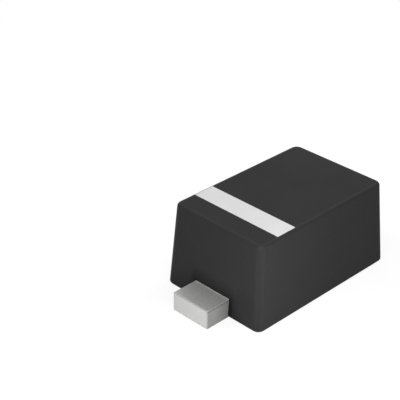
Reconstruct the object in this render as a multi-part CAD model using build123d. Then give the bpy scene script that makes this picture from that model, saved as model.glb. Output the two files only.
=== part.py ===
from build123d import *
import os
from math import cos, radians, sin, sqrt, tan

# Surface mount Schottky diode in a flat two-lead moulded package.
# The origin is the middle of the package, the point that a placement machine steers by.
# X runs along the package from the cathode end, which carries the band, to the anode end.
# Z is up, out of the marked top. Lengths are in millimetres.

# Moulded body
body_length = 1.20  # foot of one end wall to foot of the other
body_width = 0.80  # foot of one side wall to foot of the other
body_height = 0.58
draft_angle = 3.7  # lean of all four walls, in degrees
corner_radius = 0.05  # upright corners
rim_radius = 0.02  # around the top
foot_radius = 0.02  # around the underside

# Cathode band, printed into the top
band_width = 0.152
band_inset = 0.162  # bare top between the band and the cathode end
band_depth = 0.01

# Lead strips, alike at both ends
lead_width = 0.29
strip_thickness = 0.13
lead_reach = 0.18  # strip in the open, beyond the foot of the end wall
lead_end_radius = 0.008  # edges of the sheared end face

# Upset, where each strip climbs inside the body by two equal bends
upset_rise = 0.10
upset_angle = 45  # steepness between the bends, in degrees
upset_radius = 0.03  # inside radius of both bends

# Die pad and bonding post, the wide inner ends of the strips
shoulder = 0.085  # pad and post stand out past the strip on each side
shoulder_radius = 0.03
post_length = 0.16
pad_spacing = 0.12  # from pad to post
lock_radius = 0.03  # half-round notches that key the strip in the resin
lock_offset = 0.08  # notch centre from the top of the upset

# Die, on its attach film, and its metal contact
attach_thickness = 0.01
attach_margin = 0.015  # film seen around the die
die_width = 0.26
die_thickness = 0.08
contact_width = 0.18
contact_thickness = 0.004
contact_corner_radius = 0.03

# Bond wire: ball, loop and stitch
wire_diameter = 0.025
ball_diameter = 0.07
ball_height = 0.016
neck_height = 0.012  # cone between the ball and the wire
loop_cover = 0.07  # resin above the loop
loop_radius = 0.03  # bends of the loop
stitch_width = 0.06
stitch_length = 0.05
stitch_thickness = 0.006
stitch_inset = 0.06  # stitch middle from the edge of the post

# Places worked out from the sizes above
wall = body_length / 2
bend_radius = upset_radius + strip_thickness / 2  # middle of the strip
bend_rise = 2 * bend_radius * (1 - cos(radians(upset_angle)))
climb_length = (upset_rise - bend_rise) / sin(radians(upset_angle))
upset_run = 2 * bend_radius * sin(radians(upset_angle)) + climb_length * cos(radians(upset_angle))
flat_start = wall - upset_run  # top of the upset, the same distance out at both ends
post_edge = flat_start - post_length
pad_edge = post_edge - pad_spacing
pad_length = flat_start + pad_edge
die_place = pad_edge - pad_length / 2
pad_level = upset_rise + strip_thickness
die_level = pad_level + attach_thickness
contact_level = die_level + die_thickness
ball_level = contact_level + contact_thickness
loop_level = body_height - loop_cover - wire_diameter / 2
top_end = wall - body_height * tan(radians(draft_angle))


# Block drafted upward from its foot, before anything is let into it.
def body_block():
    block = extrude(Rectangle(body_length, body_width), body_height, taper=draft_angle)
    levels = block.edges().group_by(Axis.Z)
    block = fillet(levels[1], corner_radius)
    block = fillet(block.edges().group_by(Axis.Z)[-1], rim_radius)
    return fillet(block.edges().group_by(Axis.Z)[0], foot_radius)


# Band as deep as the print, cut from the block so that it follows the rounded rim.
def band(block):
    middle = -top_end + band_inset + band_width / 2
    slab = Pos(middle, 0, body_height) * Box(band_width, body_width, 2 * band_depth)
    return block & slab


# One face of a strip seen from the side: flat, up the two bends, flat to the inner end.
def strip_face(level, first_radius, second_radius, flat_length):
    foot = Line((-wall - lead_reach, level), (-wall, level))
    first_bend = JernArc(foot @ 1, foot % 1, first_radius, upset_angle)
    climb = Line(first_bend @ 1, first_bend @ 1 + climb_length * (first_bend % 1))
    second_bend = JernArc(climb @ 1, climb % 1, second_radius, -upset_angle)
    flat = Line(second_bend @ 1, second_bend @ 1 + Vector(flat_length, 0))
    return Curve() + [foot, first_bend, climb, second_bend, flat]


# Side view of a strip, closed at both ends.
def strip_side(flat_length):
    outer_radius = upset_radius + strip_thickness
    under = strip_face(0, outer_radius, upset_radius, flat_length)
    over = strip_face(strip_thickness, upset_radius, outer_radius, flat_length)
    ends = [Line(under @ 0, over @ 0), Line(under @ 1, over @ 1)]
    return make_face(under.edges() + over.edges() + ends)


# Strip seen from above: narrow through the wall, wide and notched at its inner end.
def strip_plan(flat_length):
    flat_width = lead_width + 2 * shoulder
    strip_length = lead_reach + upset_run + flat_length
    strip = Pos(-wall - lead_reach, 0) * Rectangle(strip_length, lead_width, align=(Align.MIN, Align.CENTER))
    flat = Pos(-flat_start, 0) * Rectangle(flat_length, flat_width, align=(Align.MIN, Align.CENTER))
    plan = strip + flat
    plan = fillet(plan.vertices().group_by(Axis.X)[1:], shoulder_radius)
    for side in (-1, 1):
        plan -= Pos(-flat_start + lock_offset, side * flat_width / 2) * Circle(lock_radius)
    return plan


# Lead whose outer end is at -X.
def lead(flat_length):
    profile = extrude(Plane.XZ * strip_side(flat_length), lead_width / 2 + shoulder, both=True)
    strip = profile & extrude(strip_plan(flat_length), pad_level)
    outer_end = strip.faces().sort_by(Axis.X)[0]
    return fillet(outer_end.edges(), lead_end_radius)


# Film under the die, spreading toward the pad.
def die_attach():
    foot = Rectangle(die_width + 2 * attach_margin, die_width + 2 * attach_margin)
    return Pos(die_place, 0, pad_level) * extrude(foot, attach_thickness, taper=45)


def schottky_die():
    return Pos(die_place, 0, die_level) * extrude(Rectangle(die_width, die_width), die_thickness)


def barrier_metal():
    outline = RectangleRounded(contact_width, contact_width, contact_corner_radius)
    return Pos(die_place, 0, contact_level) * extrude(outline, contact_thickness)


# Ball squashed between two flats, with a cone up to the wire, turned about its own axis.
def ball():
    flat = sqrt(ball_diameter**2 - ball_height**2) / 2
    neck_top = ball_height + neck_height
    under = Line((0, 0), (flat, 0))
    side = RadiusArc((flat, 0), (flat, ball_height), -ball_diameter / 2)
    neck = Polyline((flat, ball_height), (wire_diameter, ball_height), (wire_diameter / 2, neck_top))
    inside = Polyline((wire_diameter / 2, neck_top), (0, neck_top), (0, 0))
    profile = make_face(Curve() + [under, side, neck, inside])
    return Pos(die_place, 0, ball_level) * revolve(Plane.XZ * profile, Axis.Z)


# Wire from the ball straight up, level to the edge of the die, then down to the post.
def bond_wire():
    stitch_place = post_edge + stitch_inset
    route = FilletPolyline(
        (die_place, 0, ball_level + ball_height),
        (die_place, 0, loop_level),
        (die_place + die_width / 2, 0, loop_level),
        (stitch_place, 0, pad_level),
        radius=loop_radius,
    )
    wire = sweep(Plane(route @ 0, z_dir=route % 0) * Circle(wire_diameter / 2), path=route)
    foot = extrude(Ellipse(stitch_length / 2, stitch_width / 2), stitch_thickness)
    below_post = Pos(stitch_place, 0, pad_level) * Box(
        stitch_length, stitch_width, wire_diameter, align=(Align.CENTER, Align.CENTER, Align.MAX)
    )
    return ball() + wire + Pos(stitch_place, 0, pad_level) * foot - below_post


block = body_block()
pieces = {
    "cathode_band": band(block),
    "cathode_lead": lead(pad_length),
    "anode_lead": mirror(lead(post_length), Plane.YZ),
    "die_attach": die_attach(),
    "schottky_die": schottky_die(),
    "barrier_metal": barrier_metal(),
    "bond_wire": bond_wire(),
}

# The resin fills the block around everything else.
mould_body = block
for piece in pieces.values():
    mould_body -= piece
pieces["mould_body"] = mould_body

# All pieces stand on the board up to here. Half the height down, the origin is their middle.
os.makedirs("parts", exist_ok=True)
for name, piece in pieces.items():
    export_step(Pos(0, 0, -body_height / 2) * piece, f"parts/{name}.step")
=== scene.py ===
import math
import bpy
import numpy as np
from mathutils import Matrix, Vector


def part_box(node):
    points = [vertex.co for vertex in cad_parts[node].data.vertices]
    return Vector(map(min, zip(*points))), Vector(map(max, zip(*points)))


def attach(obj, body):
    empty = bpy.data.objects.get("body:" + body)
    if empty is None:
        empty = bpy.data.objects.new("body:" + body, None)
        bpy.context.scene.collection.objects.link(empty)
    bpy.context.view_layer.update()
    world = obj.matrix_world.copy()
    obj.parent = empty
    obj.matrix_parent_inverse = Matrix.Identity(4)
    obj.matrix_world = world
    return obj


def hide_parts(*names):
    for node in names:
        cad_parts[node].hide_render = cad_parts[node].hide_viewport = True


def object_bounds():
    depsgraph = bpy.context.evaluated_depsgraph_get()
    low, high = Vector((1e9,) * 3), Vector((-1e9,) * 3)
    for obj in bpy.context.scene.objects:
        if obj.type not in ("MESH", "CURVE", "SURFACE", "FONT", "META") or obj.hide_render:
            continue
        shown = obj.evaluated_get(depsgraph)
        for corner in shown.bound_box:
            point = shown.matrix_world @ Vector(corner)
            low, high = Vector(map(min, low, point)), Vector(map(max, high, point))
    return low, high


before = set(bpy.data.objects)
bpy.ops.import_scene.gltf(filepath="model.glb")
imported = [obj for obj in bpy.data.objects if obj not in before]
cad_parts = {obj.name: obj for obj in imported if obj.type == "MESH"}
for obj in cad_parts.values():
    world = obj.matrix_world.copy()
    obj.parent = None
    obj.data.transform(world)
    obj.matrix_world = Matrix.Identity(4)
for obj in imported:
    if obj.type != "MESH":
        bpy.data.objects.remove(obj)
cadLow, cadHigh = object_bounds()

# Lengths here are in millimetres and become metres when a mesh or lamp is made.
# Heights are counted from the board that the diode stands on.
mm = 0.001
boardLevel = cadLow.z / mm
packageHeight = (cadHigh.z - cadLow.z) / mm
print("frame loaded, package height", round(packageHeight, 4), "mm")


# Mesh from rings of points, rows by columns: each ring closes on itself, and each end closes on its middle.
# Edges sharper than sharpAngle stay crisp, and the rest are shaded smooth.
def meshFromRings(name, rings, sharpAngle=40):
    rows, columns = rings.shape[:2]
    points = np.concatenate([rings.reshape(-1, 3), [rings[0].mean(axis=0)], [rings[-1].mean(axis=0)]])
    index = np.arange(rows * columns).reshape(rows, columns)
    beside = np.roll(index, -1, axis=1)
    quads = np.stack([index[:-1], beside[:-1], beside[1:], index[1:]], axis=-1).reshape(-1, 4)
    firstFan = np.stack([beside[0], index[0], np.full(columns, rows * columns)], axis=-1)
    lastFan = np.stack([index[-1], beside[-1], np.full(columns, rows * columns + 1)], axis=-1)
    fans = np.concatenate([firstFan, lastFan])
    # six times the enclosed volume, negative where the faces point inwards
    triangles = np.concatenate([quads[:, :3], quads[:, [0, 2, 3]], fans])
    first, second, third = (points[triangles[:, corner]] for corner in range(3))
    if np.einsum("ij,ij->i", first, np.cross(second, third)).sum() < 0:
        quads, fans = quads[:, ::-1], fans[:, ::-1]

    mesh = bpy.data.meshes.new(name)
    mesh.vertices.add(len(points))
    mesh.vertices.foreach_set("co", ((points + [0, 0, boardLevel]) * mm).ravel())
    mesh.loops.add(quads.size + fans.size)
    mesh.loops.foreach_set("vertex_index", np.concatenate([quads.ravel(), fans.ravel()]))
    mesh.polygons.add(len(quads) + len(fans))
    starts = np.concatenate([np.arange(len(quads)) * 4, quads.size + np.arange(len(fans)) * 3])
    mesh.polygons.foreach_set("loop_start", starts)
    mesh.update(calc_edges=True)
    mesh.validate()
    mesh.shade_smooth()
    mesh.set_sharp_from_angle(angle=math.radians(sharpAngle))
    piece = bpy.data.objects.new(name, mesh)
    bpy.context.scene.collection.objects.link(piece)
    return piece


# Points on an arc: centre plus radius times the cosine and sine of an angle that steps from first to last,
# in degrees.
def arc(centre, radius, first, last, steps):
    angle = np.radians(np.linspace(first, last, steps + 1))
    return np.stack([centre[0] + radius * np.cos(angle), centre[1] + radius * np.sin(angle)], axis=-1)


# Rounded rectangle, one ring per row: quarter circles about the corner centres, joined by straight runs.
# halfAcross, halfUp and radius are arrays with one value per row. runs are the shares of a straight run
# where it has points. Returns rows by columns by (across, up).
def roundedRings(halfAcross, halfUp, radius, cornerSteps, runs):
    corners = []
    for quarter, (signAcross, signUp) in enumerate(((1, 1), (-1, 1), (-1, -1), (1, -1))):
        turn = arc((0, 0), 1, quarter * 90, quarter * 90 + 90, cornerSteps)
        centre = np.stack([signAcross * (halfAcross - radius), signUp * (halfUp - radius)], axis=-1)
        corners.append(centre[:, None, :] + radius[:, None, None] * turn)
    share = np.asarray(runs)[None, :, None]
    stretches = []
    for corner, following in zip(corners, corners[1:] + corners[:1]):
        stretches += [corner, corner[:, -1:] * (1 - share) + following[:, :1] * share]
    return np.concatenate(stretches, axis=1)


# Moulded body
resinBlock = {
    "length": 1.20,  # foot of one end wall to foot of the other
    "width": 0.80,
    "draft": 3.7,  # lean of the walls, in degrees
    "cornerRadius": 0.05,
    "rimRadius": 0.02,
    "footRadius": 0.02,
    "inkHeight": 0.001,  # the band stands this much proud of the resin
    "arcSteps": 10,
    "cornerSteps": 12,
    # places of the rings, as shares of a flat from its middle, of a wall's height and of a wall's length
    "flatShares": (0.12, 0.4, 0.7, 0.9, 0.994),
    "wallShares": (0.004, 0.06, 0.15, 0.3, 0.45, 0.6, 0.75, 0.88, 0.96, 0.996),
    "runShares": (0.004, 0.05, 0.15, 0.3, 0.5, 0.7, 0.85, 0.95, 0.996),
}
resinHeight = packageHeight - resinBlock["inkHeight"]
lean = math.radians(resinBlock["draft"])


# How far in from the drafted wall's foot line the centre of an arc lies, for an arc that touches the wall.
def arcInset(centreHeight, radius):
    return (radius + centreHeight * math.sin(lean)) / math.cos(lean)


# Half profile of the block from the middle of its foot to the middle of its top: flat, arc, wall that leans
# in by the tangent of the draft for each unit of height, arc, flat. Returns heights, how far each point lies
# in from the wall's foot line, and the share of the ring that is kept, which shrinks it to the middle on the
# flats.
def blockProfile():
    foot, rim = resinBlock["footRadius"], resinBlock["rimRadius"]
    draft, steps = resinBlock["draft"], resinBlock["arcSteps"]
    footArc = arc((0, foot), foot, -90, draft, steps)
    rimArc = arc((0, resinHeight - rim), rim, draft, 90, steps)
    footIn = arcInset(foot, foot) - footArc[:, 0]
    rimIn = arcInset(resinHeight - rim, rim) - rimArc[:, 0]
    share = np.array(resinBlock["wallShares"])
    wall = footArc[-1, 1] * (1 - share) + rimArc[0, 1] * share
    flat = np.array(resinBlock["flatShares"])
    height = np.concatenate([flat * 0, footArc[:, 1], wall, rimArc[:, 1], flat * 0 + resinHeight])
    inward = np.concatenate([
        flat * 0 + footIn[0], footIn, wall * math.tan(lean), rimIn, flat * 0 + rimIn[-1],
    ])
    kept = np.concatenate([flat, np.ones(len(height) - 2 * len(flat)), flat[::-1]])
    return height, inward, kept


def makeBlock():
    height, inward, kept = blockProfile()
    # tighter by as much as the arcs draw in
    radius = resinBlock["cornerRadius"] - (inward - height * math.tan(lean))
    halfLength, halfWidth = (resinBlock[side] / 2 - inward for side in ("length", "width"))
    rings = roundedRings(halfLength, halfWidth, radius, resinBlock["cornerSteps"], resinBlock["runShares"])
    rings = rings * kept[:, None, None]
    heights = np.broadcast_to(height[:, None, None], rings.shape[:2] + (1,))
    return meshFromRings("resin_block", np.concatenate([rings, heights], axis=-1))


block = makeBlock()
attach(block, "root")
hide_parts("mould_body")
print("resin block made,", len(block.data.polygons), "faces")


# Cathode band, a film of ink over the top
bandPrint = {
    "endAngle": 84,  # where the ink ends on the arc of each long rim: 90 is the border of the flat top
    "rimSteps": 3,
    "acrossSteps": 24,
    "alongSteps": 8,
}


# Section across the package: the last of one rim arc, over the top, the first of the other, and back inside
# the resin. The arcs share their centres with the block's rims and are wider by the height of the ink.
def makeBand():
    low, high = (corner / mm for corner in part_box("cathode_band"))
    under = low.z - boardLevel
    rimRadius = resinBlock["rimRadius"]
    centreUp = resinHeight - rimRadius
    centreOut = resinBlock["width"] / 2 - arcInset(centreUp, rimRadius)
    radius = rimRadius + resinBlock["inkHeight"]
    rim = arc((centreOut, centreUp), radius, bandPrint["endAngle"], 90, bandPrint["rimSteps"])
    otherRim = rim[::-1] * [-1, 1]
    across = np.linspace(1, -1, bandPrint["acrossSteps"] + 1)[1:-1]
    top = np.stack([across * centreOut, across * 0 + rim[-1, 1]], axis=-1)
    inside = np.stack([-across * rim[0, 0], across * 0 + under], axis=-1)
    section = np.concatenate([rim, top, otherRim, inside])
    along = np.linspace(low.x, high.x, bandPrint["alongSteps"] + 1)
    rings = np.zeros((len(along), len(section), 3))
    rings[:, :, 0] = along[:, None]
    rings[:, :, 1:] = section
    return meshFromRings("band_print", rings)


cathodeBand = makeBand()
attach(cathodeBand, "root")
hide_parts("cathode_band")
print("cathode band made,", len(cathodeBand.data.polygons), "faces")


# Lead strips, alike at both ends but for the length of their wide inner part
leadStrip = {
    "width": 0.29,
    "thickness": 0.13,
    "endRadius": 0.008,  # edges of the sheared end face
    "edgeRadius": 0.005,  # edges along the strip
    "upsetAngle": 45,  # steepness of the climb inside the body, in degrees
    "upsetRadius": 0.03,  # inside radius of its two bends
    "shoulderRadius": 0.03,
    "notchRadius": 0.03,
    "notchOffset": 0.08,  # notch centre from the top of the upset
    "arcSteps": 10,
    "endSteps": 6,
    "edgeSteps": 5,
    "outerPoints": 8,  # along the run outside the body
    "climbPoints": 24,  # from the wall to the shoulder
    "faceShares": (0.02, 0.15, 0.5, 0.85, 0.98),  # places of the points on each face of a section
    "endShares": (0.3, 0.88, 0.97),  # sizes of the rings inside the outer end
}


# Height of one face of the strip over the distance along it: flat, an arc up that starts at the wall, a
# straight climb, an arc that levels out at the top of the upset, flat. At a distance from its level end, an
# arc has turned away by its radius less the root of radius squared less distance squared.
def faceHeight(along, level, wall, flatStart, rise, firstRadius, secondRadius):
    steep = math.radians(leadStrip["upsetAngle"])
    bendIn, bendOut = wall + firstRadius * math.sin(steep), flatStart - secondRadius * math.sin(steep)
    fromWall, toFlat = np.maximum(along - wall, 0), np.maximum(flatStart - along, 0)
    low = firstRadius - np.sqrt(np.maximum(firstRadius**2 - fromWall**2, 0))
    high = rise - secondRadius + np.sqrt(np.maximum(secondRadius**2 - toFlat**2, 0))
    climb = firstRadius * (1 - math.cos(steep)) + (along - bendIn) * math.tan(steep)
    return level + np.where(along < bendIn, low, np.where(along < bendOut, climb, high))


# Half of the strip seen from above, as place along it and half width: narrow run, shoulder with a hollow and
# a round corner, half-round notch, rounded inner corner.
def stripPlan(outerEnd, flatStart, innerEnd, narrow, wide):
    soft, notch, steps = leadStrip["shoulderRadius"], leadStrip["notchRadius"], leadStrip["arcSteps"]
    wall = -resinBlock["length"] / 2
    outerRun = np.linspace(outerEnd + 2 * leadStrip["endRadius"], wall, leadStrip["outerPoints"])
    climb = np.linspace(wall, flatStart - soft, leadStrip["climbPoints"])[1:-1]
    return np.concatenate([
        np.stack([outerRun, outerRun * 0 + narrow], axis=-1),
        np.stack([climb, climb * 0 + narrow], axis=-1),
        arc((flatStart - soft, narrow + soft), soft, -90, 0, steps),
        arc((flatStart + soft, wide - soft), soft, 180, 90, steps),
        arc((flatStart + leadStrip["notchOffset"], wide), notch, 180, 360, 2 * steps),
        arc((innerEnd - soft, wide - soft), soft, 90, 0, steps),
    ])


# One strip whose outer end is at -X, or at +X where mirrored. Each row is the upright section at its place
# along, a rounded rectangle as wide as the plan and as high as the two faces are apart. The outer end's edges
# are drawn in along an arc.
def makeLead(name, node, mirrored):
    strip = leadStrip
    low, high = (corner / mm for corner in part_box(node))
    outerEnd, innerEnd = (-high.x, -low.x) if mirrored else (low.x, high.x)
    wall, narrow, wide = -resinBlock["length"] / 2, strip["width"] / 2, high.y
    rise = high.z - low.z - strip["thickness"]
    outside, inside = strip["upsetRadius"] + strip["thickness"], strip["upsetRadius"]
    steep = math.radians(strip["upsetAngle"])
    bends = (outside + inside) * (1 - math.cos(steep))
    flatStart = wall + (outside + inside) * math.sin(steep) + (rise - bends) / math.tan(steep)

    plan = stripPlan(outerEnd, flatStart, innerEnd, narrow, wide)
    radius = strip["endRadius"]
    end = arc((outerEnd + radius, 0), radius, 180, 90, strip["endSteps"])
    drawnIn = np.concatenate([radius - end[:, 1], np.zeros(len(plan))])
    plan = np.concatenate([np.stack([end[:, 0], np.full(len(end), narrow)], axis=-1), plan])
    along, halfWidth = plan[:, 0], plan[:, 1] - drawnIn
    under = faceHeight(along, 0, wall, flatStart, rise, outside, inside) + drawnIn
    over = faceHeight(along, strip["thickness"], wall, flatStart, rise, inside, outside) - drawnIn
    edge = np.full(len(along), strip["edgeRadius"])
    section = roundedRings(halfWidth, (over - under) / 2, edge, strip["edgeSteps"], strip["faceShares"])
    rings = np.zeros(section.shape[:2] + (3,))
    rings[:, :, 0] = (-along if mirrored else along)[:, None]
    rings[:, :, 1] = section[:, :, 0]
    rings[:, :, 2] = section[:, :, 1] + ((over + under) / 2)[:, None]
    # smaller rings inside the outer end keep its shading flat
    middle, share = rings[0].mean(axis=0), np.array(strip["endShares"])[:, None, None]
    rings = np.concatenate([middle + (rings[0] - middle) * share, rings])
    piece = meshFromRings(name, rings)
    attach(piece, "root")
    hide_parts(node)
    print(name, "made,", len(piece.data.polygons), "faces")
    return piece


cathodeLead = makeLead("cathode_strip", "cathode_lead", mirrored=False)
anodeLead = makeLead("anode_strip", "anode_lead", mirrored=True)


# Node group of one effect, with its own inputs and outputs. inputs are (name, default) of numbers.
def newGroup(name, inputs, outputs):
    group = bpy.data.node_groups.new(name, "ShaderNodeTree")
    for label, value in inputs:
        socket = group.interface.new_socket(label, in_out="INPUT", socket_type="NodeSocketFloat")
        socket.default_value = value
    for label in outputs:
        group.interface.new_socket(label, in_out="OUTPUT", socket_type="NodeSocketFloat")
    return group, group.nodes.new("NodeGroupInput"), group.nodes.new("NodeGroupOutput")


# Adds a node to a tree, sets its properties and its inputs: a value, or the output of another node.
def addNode(tree, kind, inputs=None, **properties):
    node = tree.nodes.new(kind)
    for key, value in properties.items():
        setattr(node, key, value)
    for key, value in (inputs or {}).items():
        if isinstance(value, bpy.types.NodeSocket):
            tree.links.new(value, node.inputs[key])
        else:
            node.inputs[key].default_value = value
    return node


def mathNode(tree, operation, first, second=0.0):
    return addNode(tree, "ShaderNodeMath", {0: first, 1: second}, operation=operation).outputs[0]


# Object coordinates in millimetres, so that the sizes in the groups are real ones.
def millimetres(tree, stretch=(1, 1, 1)):
    place = addNode(tree, "ShaderNodeTexCoord").outputs["Object"]
    scale = [s / mm for s in stretch]
    return addNode(tree, "ShaderNodeMapping", {"Vector": place, "Scale": scale}).outputs["Vector"]


# Colour between two ends, by a mask. Each end is a colour or the output of another node.
def blendColours(tree, mask, first, second):
    first, second = (end if isinstance(end, bpy.types.NodeSocket) else (*end, 1) for end in (first, second))
    inputs = {"Factor": mask, "A": first, "B": second}
    return addNode(tree, "ShaderNodeMix", inputs, data_type="RGBA").outputs["Result"]


def blendNumbers(tree, mask, first, second):
    inputs = {"Factor": mask, "A": first, "B": second}
    return addNode(tree, "ShaderNodeMix", inputs, data_type="FLOAT").outputs["Result"]


# Range of a mask stretched to run between two values. Where no range is given, it is the one in which most of
# a noise lies.
def between(tree, mask, low, high, fromLow=0.3, fromHigh=0.7):
    return addNode(tree, "ShaderNodeMapRange", {
        "Value": mask, "From Min": fromLow, "From Max": fromHigh, "To Min": low, "To Max": high,
    }).outputs["Result"]


# Noises of the grain and of the rolled lines
skinNoises = {
    "fine": {"Detail": 3.0, "Roughness": 0.6},
    "coarse": {"Detail": 2.0, "Roughness": 0.5},
    "drift": {"Detail": 1.0},
    "lines": {"Detail": 2.0, "Roughness": 0.55},
    "coarsePerFine": 0.3,  # coarse grains to a fine one, along a line
    "lineStretch": 0.03,  # how fast the rolled lines change along the strip, against across it
}


def noise(tree, kind, place, scale):
    inputs = {"Vector": place, "Scale": scale, **skinNoises[kind]}
    return addNode(tree, "ShaderNodeTexNoise", inputs).outputs["Fac"]


# Grain of a cast or plated skin: two sizes of soft noise, and a slow drift from place to place.
def makeGrain():
    group, given, result = newGroup(
        "skinGrain",
        [("Grains per mm", 40), ("Coarse Share", 0.5), ("Drift per mm", 2)],
        ["Height", "Fine", "Drift"],
    )
    place, fineScale = millimetres(group), given.outputs["Grains per mm"]
    coarseScale = mathNode(group, "MULTIPLY", fineScale, skinNoises["coarsePerFine"])
    fine = noise(group, "fine", place, fineScale)
    coarse = noise(group, "coarse", place, coarseScale)
    drift = noise(group, "drift", place, given.outputs["Drift per mm"])
    both = blendNumbers(group, given.outputs["Coarse Share"], fine, coarse)
    group.links.new(both, result.inputs["Height"])
    group.links.new(fine, result.inputs["Fine"])
    group.links.new(drift, result.inputs["Drift"])
    return group


# Fine lines along a strip, as rolling leaves them. The strip runs along X.
def makeRolledLines():
    group, given, result = newGroup("rolledLines", [("Lines per mm", 60)], ["Height"])
    place = millimetres(group, (skinNoises["lineStretch"], 1, 1))
    lines = noise(group, "lines", place, given.outputs["Lines per mm"])
    group.links.new(lines, result.inputs["Height"])
    return group


skinGrain = makeGrain()
rolledLines = makeRolledLines()


def newMaterial(name, **constants):
    material = bpy.data.materials.new(name)
    material.use_nodes = True
    shader = material.node_tree.nodes["Principled BSDF"]
    for key, value in constants.items():
        shader.inputs[key.replace("_", " ")].default_value = value
    return material.node_tree, shader, material


def groupNode(tree, group, **values):
    node = addNode(tree, "ShaderNodeGroup", node_tree=group)
    for key, value in values.items():
        node.inputs[key.replace("_", " ")].default_value = value
    return node


# Outputs of the grain, with the values of a finish.
def grainOf(tree, finish):
    return groupNode(
        tree,
        skinGrain,
        Grains_per_mm=finish["grainsPerMm"],
        Coarse_Share=finish["coarseShare"],
        Drift_per_mm=finish["driftsPerMm"],
    ).outputs


# Object coordinates along X, Y and Z, in millimetres.
def placeIn(tree):
    return addNode(tree, "ShaderNodeSeparateXYZ", {0: millimetres(tree)}).outputs


# Bump from a height that runs over 0 to 1, for a relief so many millimetres deep.
def relief(tree, shader, height, depth):
    bump = addNode(tree, "ShaderNodeBump", {"Strength": 1.0, "Distance": depth * mm, "Height": height})
    tree.links.new(bump.outputs["Normal"], shader.inputs["Normal"])


# The painted highlights along the rims and corners, and the painted shade on the resin against the leads,
# follow the tones of the photograph.
resinFinish = {
    "dark": (0.0235, 0.0235, 0.0238),
    "light": (0.0268, 0.0268, 0.0271),
    "edge": (0.0390, 0.0390, 0.0394),  # painted highlights: pale lines along the rims and corners
    "leadShade": (0.0050, 0.0050, 0.0052),  # painted shade on the resin against the leads
    "roughness": (0.52, 0.60),
    "mirror": 0.08,  # specular level, where 0.5 is the shader's own
    "grainsPerMm": 90,
    "coarseShare": 0.3,
    "driftsPerMm": 2.5,
    "grainDepth": 0.0003,
    # how far in from the drafted walls a painted highlight line starts, peaks and ends
    "rimHighlight": (0.006, 0.017, 0.030),
    "cornerHighlight": (0.0004, 0.0030, 0.0090),
    "cornerShare": 0.35,  # strength of the painted highlight along a corner, against that along a rim
    "leastHighlight": 0.6,  # strength that the grain leaves a painted highlight where it is weakest
    "leadShadeReach": 0.12,  # reach of the painted shade above a lead
    "leadShadeNarrowing": 2.0,  # how many times shorter the reach is beside it
    "leadShadeFade": 1.5,  # power of the fade
    "endWallFrom": (0.53, 0.56),  # distances out at which the end walls are told from the rest
}


# Peak of 1 that a distance climbs to and falls from, straight on both sides.
def peak(tree, distance, start, top, end):
    climb = between(tree, distance, 0, 1, start, top)
    fall = between(tree, distance, 1, 0, top, end)
    return mathNode(tree, "MINIMUM", climb, fall)


# Painted highlights: pale lines along the top rims and, fainter, along the upright corners. Both are peaks
# over the distance in from the nearest drafted wall, which is 0 on the walls and grows round the edges. The
# rims are told from the corners by height, over the lower half of their rounding.
def paintedHighlightEdges(tree, place):
    finish, rimRadius = resinFinish, resinBlock["rimRadius"]
    height = mathNode(tree, "SUBTRACT", place["Z"], boardLevel)
    leanIn = mathNode(tree, "MULTIPLY", height, math.tan(lean))
    inward = []
    for axis, side in (("X", "length"), ("Y", "width")):
        out = mathNode(tree, "ADD", mathNode(tree, "ABSOLUTE", place[axis]), leanIn)
        inward.append(mathNode(tree, "SUBTRACT", resinBlock[side] / 2, out))
    nearest = mathNode(tree, "MINIMUM", *inward)
    atRim = between(tree, height, 0, 1, resinHeight - rimRadius, resinHeight - rimRadius / 2)
    rim = peak(tree, nearest, *finish["rimHighlight"])
    corner = mathNode(tree, "MULTIPLY", peak(tree, nearest, *finish["cornerHighlight"]), finish["cornerShare"])
    return between(tree, atRim, corner, rim, 0, 1)


# Mask of the painted shade on the resin around a lead, 1 against the lead and 0 beyond the reach: the
# distance from the strip's upright section, on the end walls only.
def paintedLeadShade(tree, place):
    finish = resinFinish
    sideways = mathNode(tree, "SUBTRACT", mathNode(tree, "ABSOLUTE", place["Y"]), leadStrip["width"] / 2)
    sideways = mathNode(tree, "MULTIPLY", sideways, finish["leadShadeNarrowing"])
    upward = mathNode(tree, "SUBTRACT", place["Z"], boardLevel + leadStrip["thickness"])
    gap = addNode(tree, "ShaderNodeCombineXYZ", {
        "X": mathNode(tree, "MAXIMUM", sideways, 0.0), "Y": mathNode(tree, "MAXIMUM", upward, 0.0),
    }).outputs[0]
    distance = addNode(tree, "ShaderNodeVectorMath", {0: gap}, operation="LENGTH").outputs["Value"]
    near = between(tree, distance, 1, 0, 0, finish["leadShadeReach"])
    near = mathNode(tree, "POWER", near, finish["leadShadeFade"])
    endWall = between(tree, mathNode(tree, "ABSOLUTE", place["X"]), 0, 1, *finish["endWallFrom"])
    return mathNode(tree, "MULTIPLY", near, endWall)


def makeResin():
    finish = resinFinish
    tree, shader, material = newMaterial("moulding_resin", IOR=1.5, Specular_IOR_Level=finish["mirror"])
    grain, place = grainOf(tree, finish), placeIn(tree)
    colour = blendColours(tree, between(tree, grain["Fine"], 0, 1), finish["dark"], finish["light"])
    strength = between(tree, grain["Height"], finish["leastHighlight"], 1)
    # painted highlight: pale lines along the rims and corners, their strength set by the grain
    line = mathNode(tree, "MULTIPLY", paintedHighlightEdges(tree, place), strength)
    colour = blendColours(tree, line, colour, finish["edge"])
    # painted shade on the end walls against the leads
    colour = blendColours(tree, paintedLeadShade(tree, place), colour, finish["leadShade"])
    tree.links.new(colour, shader.inputs["Base Color"])
    tree.links.new(between(tree, grain["Drift"], *finish["roughness"]), shader.inputs["Roughness"])
    relief(tree, shader, grain["Height"], finish["grainDepth"])
    return material


inkFinish = {
    "dark": (0.80, 0.80, 0.80),
    "light": (0.84, 0.84, 0.84),
    "roughness": (0.55, 0.65),
    "grainsPerMm": 60,
    "coarseShare": 0.4,
    "driftsPerMm": 6,
    "grainDepth": 0.0003,
}


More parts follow.
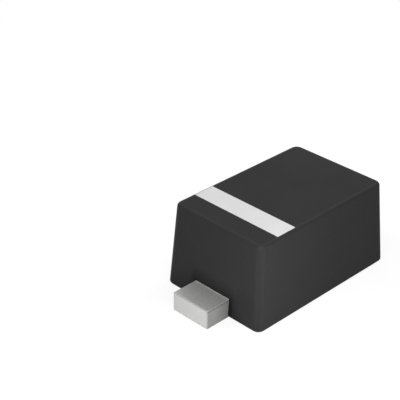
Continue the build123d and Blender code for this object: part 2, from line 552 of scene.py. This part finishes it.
def makeInk():
    finish = inkFinish
    tree, shader, material = newMaterial("band_ink", IOR=1.45)
    grain = grainOf(tree, finish)
    colour = blendColours(tree, between(tree, grain["Drift"], 0, 1), finish["dark"], finish["light"])
    tree.links.new(colour, shader.inputs["Base Color"])
    tree.links.new(between(tree, grain["Fine"], *finish["roughness"]), shader.inputs["Roughness"])
    relief(tree, shader, grain["Height"], finish["grainDepth"])
    return material


# The tones of the sides, the end, its border and the dark line follow the photograph; those of the sides, the
# border and the dark line are painted shade.
tinFinish = {
    "dark": (0.54, 0.54, 0.53),
    "light": (0.595, 0.595, 0.585),
    "end": (0.615, 0.615, 0.604),  # sheared end
    "shadedEndEdge": (0.45, 0.45, 0.442),  # painted shade on the rounded border of that end
    "shadedSides": (0.33, 0.33, 0.324),  # long sides, darker as painted shade
    "shadeLine": (0.17, 0.17, 0.167),  # painted shade: a dark line under the upper edge of a side
    "copper": (0.72, 0.42, 0.30),  # bare strip inside the resin
    "roughness": (0.50, 0.58),  # upper and under faces
    "cutRoughness": 0.80,  # sides and end
    # below 1, so that a side or an end doesn't mirror a lamp as a white patch
    "endMetallic": 0.40,
    "sideMetallic": 0.75,
    "shadeLineDown": (0.002, 0.007, 0.016),  # how far under the upper face the painted shade line starts, peaks and ends
    "besideShadeShare": 0.25,  # how much painted shade darkens a long side where it meets the resin
    "besideShadeReach": 0.10,  # distance over which that painted shade fades
    # how near a side's plane counts as the side, as the start of the mask and where it is full
    "sideFace": (0.0015, 0.0006),
    "endFace": (1.0, 0.6),  # the same for the end, in shares of the radius of its edges
    "endFlat": (0.0005, 0.0001),  # how near the end's plane counts as its flat middle
    "platedBeyond": (0.555, 0.565),  # distances out over which the plating starts, inside the resin
    "toneRange": (0.8, 1.2),  # of the drift and the lines added, from dark to light
    "grainsPerMm": 120,
    "coarseShare": 0.5,
    "driftsPerMm": 45,  # patches of paler and darker tin
    "grainDepth": 0.0004,
    "linesPerMm": 90,
    "lineDepth": 0.0002,
}


# Masks of a strip's sides, of its end and of that end's rounded border, from the distances out and across.
# The border's mask carries only painted shade.
def cutFaces(tree, out, across):
    finish, radius = tinFinish, leadStrip["endRadius"]
    end, side = -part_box("cathode_lead")[0].x / mm, leadStrip["width"] / 2
    sideCut = between(tree, across, 0, 1, *(side - depth for depth in finish["sideFace"]))
    endCut = between(tree, out, 0, 1, *(end - share * radius for share in finish["endFace"]))
    rounded = between(tree, out, 1, 0, *(end - depth for depth in finish["endFlat"]))
    return sideCut, endCut, mathNode(tree, "MINIMUM", endCut, rounded)


# Matte tin over rolled copper strip. Inside the resin the strip is bare.
def makeTin():
    finish, wall = tinFinish, resinBlock["length"] / 2
    tree, shader, material = newMaterial("tinned_strip")
    grain, place = grainOf(tree, finish), placeIn(tree)
    lines = groupNode(tree, rolledLines, Lines_per_mm=finish["linesPerMm"]).outputs["Height"]
    out, across = (mathNode(tree, "ABSOLUTE", place[axis]) for axis in "XY")
    sideCut, endCut, shadedEndEdge = cutFaces(tree, out, across)
    down = mathNode(tree, "SUBTRACT", boardLevel + leadStrip["thickness"], place["Z"])
    shadeLine = mathNode(tree, "MULTIPLY", peak(tree, down, *finish["shadeLineDown"]), sideCut)
    # painted shade on the long sides next to the resin
    shadeBesideResin = between(tree, out, finish["besideShadeShare"], 0, wall, wall + finish["besideShadeReach"])
    shadeBesideResin = mathNode(tree, "MULTIPLY", shadeBesideResin, sideCut)
    tone = between(tree, mathNode(tree, "ADD", grain["Drift"], lines), 0, 1, *finish["toneRange"])
    plated = between(tree, out, 0, 1, *finish["platedBeyond"])

    colour = blendColours(tree, tone, finish["dark"], finish["light"])
    colour = blendColours(tree, endCut, colour, finish["end"])
    # painted shade: the long sides darker than the rest of the strip
    colour = blendColours(tree, sideCut, colour, finish["shadedSides"])
    # painted shade on the rounded border of the end
    colour = blendColours(tree, shadedEndEdge, colour, finish["shadedEndEdge"])
    # painted shade: a dark line under the upper edge of each long side
    colour = blendColours(tree, shadeLine, colour, finish["shadeLine"])
    colour = blendColours(tree, shadeBesideResin, colour, (0, 0, 0))
    colour = blendColours(tree, plated, finish["copper"], colour)
    tree.links.new(colour, shader.inputs["Base Color"])

    cut = mathNode(tree, "MAXIMUM", sideCut, endCut)
    rolled = between(tree, grain["Fine"], *finish["roughness"])
    tree.links.new(between(tree, cut, rolled, finish["cutRoughness"], 0, 1), shader.inputs["Roughness"])
    metallic = between(tree, sideCut, 1, finish["sideMetallic"], 0, 1)
    metallic = between(tree, endCut, metallic, finish["endMetallic"], 0, 1)
    tree.links.new(metallic, shader.inputs["Metallic"])
    depth = finish["grainDepth"] + finish["lineDepth"]
    relief(tree, shader, blendNumbers(tree, finish["lineDepth"] / depth, grain["Height"], lines), depth)
    return material


# Finishes of the parts inside the resin, each two colours that its grain mixes.
innerFinishes = {
    "attach_film": {
        "colours": ((0.48, 0.47, 0.46), (0.66, 0.65, 0.64)), "metallic": 0.6, "roughness": (0.45, 0.7),
        "grainsPerMm": 250, "grainDepth": 0.0012,
    },
    "silicon": {
        "colours": ((0.21, 0.22, 0.26), (0.25, 0.26, 0.30)), "metallic": 0.9, "roughness": (0.12, 0.25),
        "grainsPerMm": 60, "grainDepth": 0.0001,
    },
    "contact_metal": {
        "colours": ((0.80, 0.80, 0.81), (0.88, 0.88, 0.89)), "metallic": 1.0, "roughness": (0.28, 0.4),
        "grainsPerMm": 400, "grainDepth": 0.0003,
    },
    "gold_wire": {
        "colours": ((0.88, 0.64, 0.26), (0.94, 0.72, 0.34)), "metallic": 1.0, "roughness": (0.14, 0.26),
        "grainsPerMm": 200, "grainDepth": 0.0001,
    },
}
innerGrain = {"coarseShare": 0.4, "driftsPerMm": 10}


def makeInner(name):
    finish = {**innerGrain, **innerFinishes[name]}
    tree, shader, material = newMaterial(name, Metallic=finish["metallic"])
    grain = grainOf(tree, finish)
    colour = blendColours(tree, between(tree, grain["Fine"], 0, 1), *finish["colours"])
    tree.links.new(colour, shader.inputs["Base Color"])
    tree.links.new(between(tree, grain["Drift"], *finish["roughness"]), shader.inputs["Roughness"])
    relief(tree, shader, grain["Height"], finish["grainDepth"])
    return material


def dress(piece, material):
    piece.data.materials.clear()
    piece.data.materials.append(material)


dress(block, makeResin())
dress(cathodeBand, makeInk())
tin = makeTin()
for lead in (cathodeLead, anodeLead):
    dress(lead, tin)
innerSlots = {
    "die_attach": "attach_film",
    "schottky_die": "silicon",
    "barrier_metal": "contact_metal",
    "bond_wire": "gold_wire",
}
for node, slot in innerSlots.items():
    dress(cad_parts[node], makeInner(slot))
print("materials made")

# Camera, as the photograph was taken
photoCamera = {
    "azimuth": -44.537,  # this and the next two in degrees
    "elevation": 29.958,
    "roll": -0.212,
    "distance": 7.5204,  # from the lens to the plane of the foot's middle
    "footMiddlePixel": (276.75, 270.27),  # where the middle of the underside shows
    "focalPixels": 1165.3,
    "imagePixels": 400,
    "sensorWidth": 36,  # of the camera itself, in its own millimetres
    "clip": (0.5, 1000),
}


def makeCamera():
    view = photoCamera
    azimuth, elevation, roll = (math.radians(view[angle]) for angle in ("azimuth", "elevation", "roll"))
    forward = Vector((
        -math.sin(azimuth) * math.cos(elevation),
        math.cos(azimuth) * math.cos(elevation),
        -math.sin(elevation),
    ))
    level = Vector((math.cos(azimuth), math.sin(azimuth), 0))
    below = forward.cross(level)
    right = math.cos(roll) * level + math.sin(roll) * below
    down = -math.sin(roll) * level + math.cos(roll) * below
    offX, offY = (pixel - view["imagePixels"] / 2 for pixel in view["footMiddlePixel"])
    place = Vector((0, 0, boardLevel)) - view["distance"] * (
        forward + right * (offX / view["focalPixels"]) + down * (offY / view["focalPixels"])
    )
    data = bpy.data.cameras.new("photoCamera")
    data.sensor_width = view["sensorWidth"]
    data.lens = view["sensorWidth"] * view["focalPixels"] / view["imagePixels"]
    data.clip_start, data.clip_end = (distance * mm for distance in view["clip"])
    camera = bpy.data.objects.new("photoCamera", data)
    axes = Matrix((right, -down, -forward)).transposed()
    camera.matrix_world = Matrix.Translation(place * mm) @ axes.to_4x4()
    bpy.context.scene.collection.objects.link(camera)
    bpy.context.scene.camera = camera


makeCamera()
print("camera set")


# Floor, in millimetres. It looks white, and keeps a faint shadow near the diode.
studioFloor = {
    "halfSize": 400,
    "below": 0.0005,  # clearance under the foot
    "colour": (0.9, 0.9, 0.9),
    "glow": 0.83,  # part of the white that the camera sees that takes no shadow
    "shadowShare": 0.25,  # part that does
    "mirrorGlow": 0.08,  # what metal and glass see on top of the lit floor
    "footGap": (0.0015, 0.0020),  # rays this short left the foot itself, and pass
    "shadowReach": (2.5, 5.0),  # distances out over which the shadow gives way to plain white
}


# What the camera sees of the floor: white that takes a shadow near the diode, and glows further out.
def picturedFloor(tree):
    place = millimetres(tree, (1, 1, 0))
    away = addNode(tree, "ShaderNodeVectorMath", {0: place}, operation="LENGTH").outputs["Value"]
    near = between(tree, away, 1, 0, *studioFloor["shadowReach"])
    share = mathNode(tree, "MULTIPLY", near, studioFloor["shadowShare"])
    shade = blendColours(tree, share, (0, 0, 0), (1, 1, 1))
    taking = addNode(tree, "ShaderNodeBsdfDiffuse", {"Color": shade}).outputs[0]
    glow = between(tree, near, 1, studioFloor["glow"], 0, 1)
    glowing = addNode(tree, "ShaderNodeEmission", {"Strength": glow}).outputs[0]
    return addNode(tree, "ShaderNodeAddShader", {0: taking, 1: glowing}).outputs[0]


# Square in the board's plane. From underneath it is clear, and so it is to rays that leave the foot, so that
# the foot can be seen and gets the room's light.
def makeFloor():
    corners = np.array([(-1, -1, 0), (1, -1, 0), (1, 1, 0), (-1, 1, 0)], float) * studioFloor["halfSize"]
    corners[:, 2] = boardLevel - studioFloor["below"]
    mesh = bpy.data.meshes.new("floor")
    mesh.from_pydata((corners * mm).tolist(), [], [(0, 1, 2, 3)])
    floor = bpy.data.objects.new("floor", mesh)
    bpy.context.scene.collection.objects.link(floor)
    material = bpy.data.materials.new("pale_floor")
    material.use_nodes = True
    tree = material.node_tree
    tree.nodes.clear()
    rays = addNode(tree, "ShaderNodeLightPath").outputs
    mirrored = mathNode(tree, "MAXIMUM", rays["Is Glossy Ray"], rays["Is Transmission Ray"])
    lift = mathNode(tree, "MULTIPLY", mirrored, studioFloor["mirrorGlow"])
    lifting = addNode(tree, "ShaderNodeEmission", {"Strength": lift}).outputs[0]
    plain = addNode(tree, "ShaderNodeBsdfDiffuse", {"Color": (*studioFloor["colour"], 1)}).outputs[0]
    lit = addNode(tree, "ShaderNodeAddShader", {0: plain, 1: lifting}).outputs[0]
    surface = addNode(tree, "ShaderNodeMixShader", {
        "Fac": rays["Is Camera Ray"], 1: lit, 2: picturedFloor(tree),
    }).outputs[0]
    behind = addNode(tree, "ShaderNodeNewGeometry").outputs["Backfacing"]
    fromFoot = between(tree, rays["Ray Length"], 1, 0, *(gap * mm for gap in studioFloor["footGap"]))
    both = addNode(tree, "ShaderNodeMixShader", {
        "Fac": mathNode(tree, "MAXIMUM", behind, fromFoot),
        1: surface,
        2: addNode(tree, "ShaderNodeBsdfTransparent").outputs[0],
    }).outputs[0]
    addNode(tree, "ShaderNodeOutputMaterial", {"Surface": both})
    dress(floor, material)


# Room around the diode: white wherever it shows, and its own light dim and even.
studioRoom = {
    "level": 0.30,  # the even light that it gives
}


def makeRoom():
    world = bpy.data.worlds.new("studio")
    world.use_nodes = True
    tree = world.node_tree
    tree.nodes.clear()
    rays = addNode(tree, "ShaderNodeLightPath").outputs
    shown = mathNode(tree, "MAXIMUM", rays["Is Camera Ray"], rays["Is Glossy Ray"])
    shown = mathNode(tree, "MAXIMUM", shown, rays["Is Transmission Ray"])
    strength = between(tree, shown, studioRoom["level"], 1, 0, 1)
    shade = addNode(tree, "ShaderNodeBackground", {"Color": (1, 1, 1, 1), "Strength": strength})
    addNode(tree, "ShaderNodeOutputWorld", {"Surface": shade.outputs[0]})
    bpy.context.scene.world = world


# Softboxes, named as the camera sees them: where each stands as azimuth, elevation and distance in
# millimetres from the diode, its width and height, and its brightness, where 1 shows as white.
softboxes = {
    "right": {"azimuth": -20, "elevation": 50, "distance": 100, "size": (60, 40), "bright": 4.5},
    "left": {"azimuth": 130, "elevation": 38, "distance": 100, "size": (60, 40), "bright": 5.5},
    "front": {"azimuth": -130, "elevation": 12, "distance": 1.7, "size": (1.3, 1.0), "bright": 3.95},
}


# Rectangular lamp that faces the diode. Its power is pi times its area for a brightness of 1.
def makeSoftbox(name, box):
    turn, rise = math.radians(box["azimuth"]), math.radians(box["elevation"])
    toward = Vector((math.cos(turn) * math.cos(rise), math.sin(turn) * math.cos(rise), math.sin(rise)))
    data = bpy.data.lights.new(name, "AREA")
    data.shape = "RECTANGLE"
    data.size, data.size_y = (side * mm for side in box["size"])
    data.energy = math.pi * data.size * data.size_y * box["bright"]
    lamp = bpy.data.objects.new(name, data)
    lamp.location = toward * box["distance"] * mm
    lamp.rotation_euler = toward.to_track_quat("Z", "Y").to_euler()
    bpy.context.scene.collection.objects.link(lamp)


makeFloor()
makeRoom()
for name, box in softboxes.items():
    makeSoftbox(name, box)
bpy.context.scene.view_settings.view_transform = "Standard"
print("floor, room and", len(softboxes), "softboxes made")
